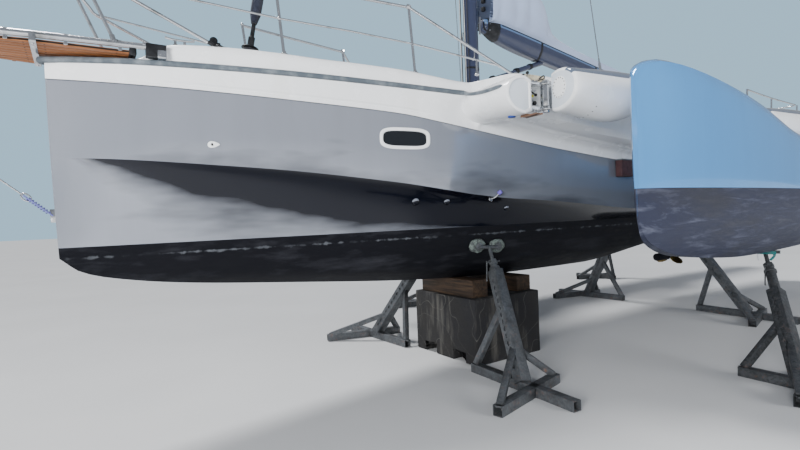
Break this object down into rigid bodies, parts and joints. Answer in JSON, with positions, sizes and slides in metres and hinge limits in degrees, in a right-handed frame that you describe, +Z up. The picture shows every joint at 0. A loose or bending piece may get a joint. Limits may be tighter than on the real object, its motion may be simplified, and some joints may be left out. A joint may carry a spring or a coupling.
{
  "type": "folding trimaran sailing yacht, folded, on a keel block and jack stands",
  "caption": "Folding trimaran sailing yacht ashore, its floats swung aft beside the hull, on a concrete keel block and jack stands.",
  "frame": {"origin": "on the ground, at the middle of the keel block's underside", "axes": "+X towards the bow, +Y to port, +Z up along the mast"},
  "size_m": [15.53, 6.6646, 20.5],
  "materials": {
    "topside": "gloss grey",
    "gelcoat": "gloss white",
    "antifoul": "matt",
    "trim": "satin",
    "steel": "polished stainless",
    "teak": "oiled",
    "carbon": "clear-coated carbon",
    "glass": "tinted",
    "cloth": "woven",
    "paint": "satin",
    "bronze": "satin",
    "concrete": "rough",
    "stand": "dull galvanised",
    "timber": "rough sawn"
  },
  "bodies": {
    "hull": {"main_hull": "topside", "deck": "gelcoat", "rubbing_strip": "trim", "coachroof": "gelcoat", "coachroof_front": "gelcoat", "engine": "paint", "bowsprit_frame": "steel", "bowsprit_planks": "teak", "bobstay": "steel", "pulpit": "steel", "mast": "carbon", "furled_jib": "cloth", "rudder_bracket": "steel", "drive_leg": "antifoul", "keel_block": "concrete", "keel_timber_fore": "timber", "keel_timber_aft": "timber", "cabin_window_port": "glass", "guard_rail_port": "steel", "stern_rail_port": "steel", "shroud_port": "steel", "winch_port": "steel", "hull_stand_fore_port": "stand", "hull_stand_aft_port": "stand", "float_stand_fore_port": "stand", "float_stand_aft_port": "stand", "front_hinge_port": "steel", "aft_hinge_port": "steel", "cabin_window_starboard": "glass", "guard_rail_starboard": "steel", "stern_rail_starboard": "steel", "shroud_starboard": "steel", "winch_starboard": "steel", "hull_stand_fore_starboard": "stand", "hull_stand_aft_starboard": "stand", "float_stand_fore_starboard": "stand", "float_stand_aft_starboard": "stand", "front_hinge_starboard": "steel", "aft_hinge_starboard": "steel"},
    "boom": {"boom": "carbon", "mainsail_stowed": "cloth", "vang": "carbon"},
    "rudder": {"rudder": "gelcoat", "tiller": "teak"},
    "propeller": {"propeller": "bronze"},
    "centreboard": {"centreboard": "antifoul"},
    "foredeck_hatch": {"foredeck_hatch": "glass"},
    "companionway_hatch": {"companionway_hatch": "gelcoat"},
    "companionway_door": {"companionway_door": "glass"},
    "front_beam_port": {"front_beam_port": "gelcoat"},
    "aft_beam_port": {"aft_beam_port": "gelcoat"},
    "float_port": {"float_port": "topside"},
    "front_beam_starboard": {"front_beam_starboard": "gelcoat"},
    "aft_beam_starboard": {"aft_beam_starboard": "gelcoat"},
    "float_starboard": {"float_starboard": "topside"}
  },
  "joints": [
    {"name": "fold_port", "type": "hinge", "parent": "hull", "child": "front_beam_port", "pos_m": [0.295, 1.415, 2.65], "axis": [0, 0, -1], "range_deg": [0, 74]},
    {"name": "float_level_port", "type": "hinge", "parent": "front_beam_port", "child": "float_port", "pos_m": [-2.012, 2.0765, 2.6], "axis": [0, 0, -1], "range_deg": [-74, 0]},
    {"name": "aft_fold_port", "type": "hinge", "parent": "hull", "child": "aft_beam_port", "pos_m": [-3.75, 1.415, 2.65], "axis": [0, 0, -1], "range_deg": [0, 74]},
    {"name": "fold_starboard", "type": "hinge", "parent": "hull", "child": "front_beam_starboard", "pos_m": [0.295, -1.415, 2.65], "axis": [0, 0, 1], "range_deg": [0, 74]},
    {"name": "float_level_starboard", "type": "hinge", "parent": "front_beam_starboard", "child": "float_starboard", "pos_m": [-2.012, -2.0765, 2.6], "axis": [0, 0, 1], "range_deg": [-74, 0]},
    {"name": "aft_fold_starboard", "type": "hinge", "parent": "hull", "child": "aft_beam_starboard", "pos_m": [-3.75, -1.415, 2.65], "axis": [0, 0, 1], "range_deg": [0, 74]},
    {"name": "boom_swing", "type": "hinge", "parent": "hull", "child": "boom", "pos_m": [-0.25, 0, 3.95], "axis": [0, 0, 1], "range_deg": [-57, 43]},
    {"name": "rudder_turn", "type": "hinge", "parent": "hull", "child": "rudder", "pos_m": [-7.86, 0, 2.2], "axis": [0, 0, 1], "range_deg": [-35, 35]},
    {"name": "propeller_spin", "type": "hinge", "parent": "hull", "child": "propeller", "pos_m": [-4.25, 0, 0.8], "axis": [1, 0, 0], "continuous": true},
    {"name": "centreboard_drop", "type": "hinge", "parent": "hull", "child": "centreboard", "pos_m": [-1.28, 0, 1.16], "axis": [0, -1, 0], "range_deg": [0, 75]},
    {"name": "foredeck_hatch_lift", "type": "hinge", "parent": "hull", "child": "foredeck_hatch", "pos_m": [2.15, 0, 3.087], "axis": [0, 1, 0], "range_deg": [0, 80]},
    {"name": "companionway_hatch_slide", "type": "slide", "parent": "hull", "child": "companionway_hatch", "axis": [1, 0, 0], "range_m": [0, 0.62]},
    {"name": "companionway_door_swing", "type": "hinge", "parent": "hull", "child": "companionway_door", "pos_m": [-4.336, 0.33, 2.9], "axis": [0, 0, -1], "range_deg": [0, 100]}
  ],
  "couplings": [
    {"joint": "float_level_port", "follows": "fold_port", "ratio": -1},
    {"joint": "aft_fold_port", "follows": "fold_port", "ratio": 1},
    {"joint": "float_level_starboard", "follows": "fold_starboard", "ratio": -1},
    {"joint": "aft_fold_starboard", "follows": "fold_starboard", "ratio": 1}
  ]
}
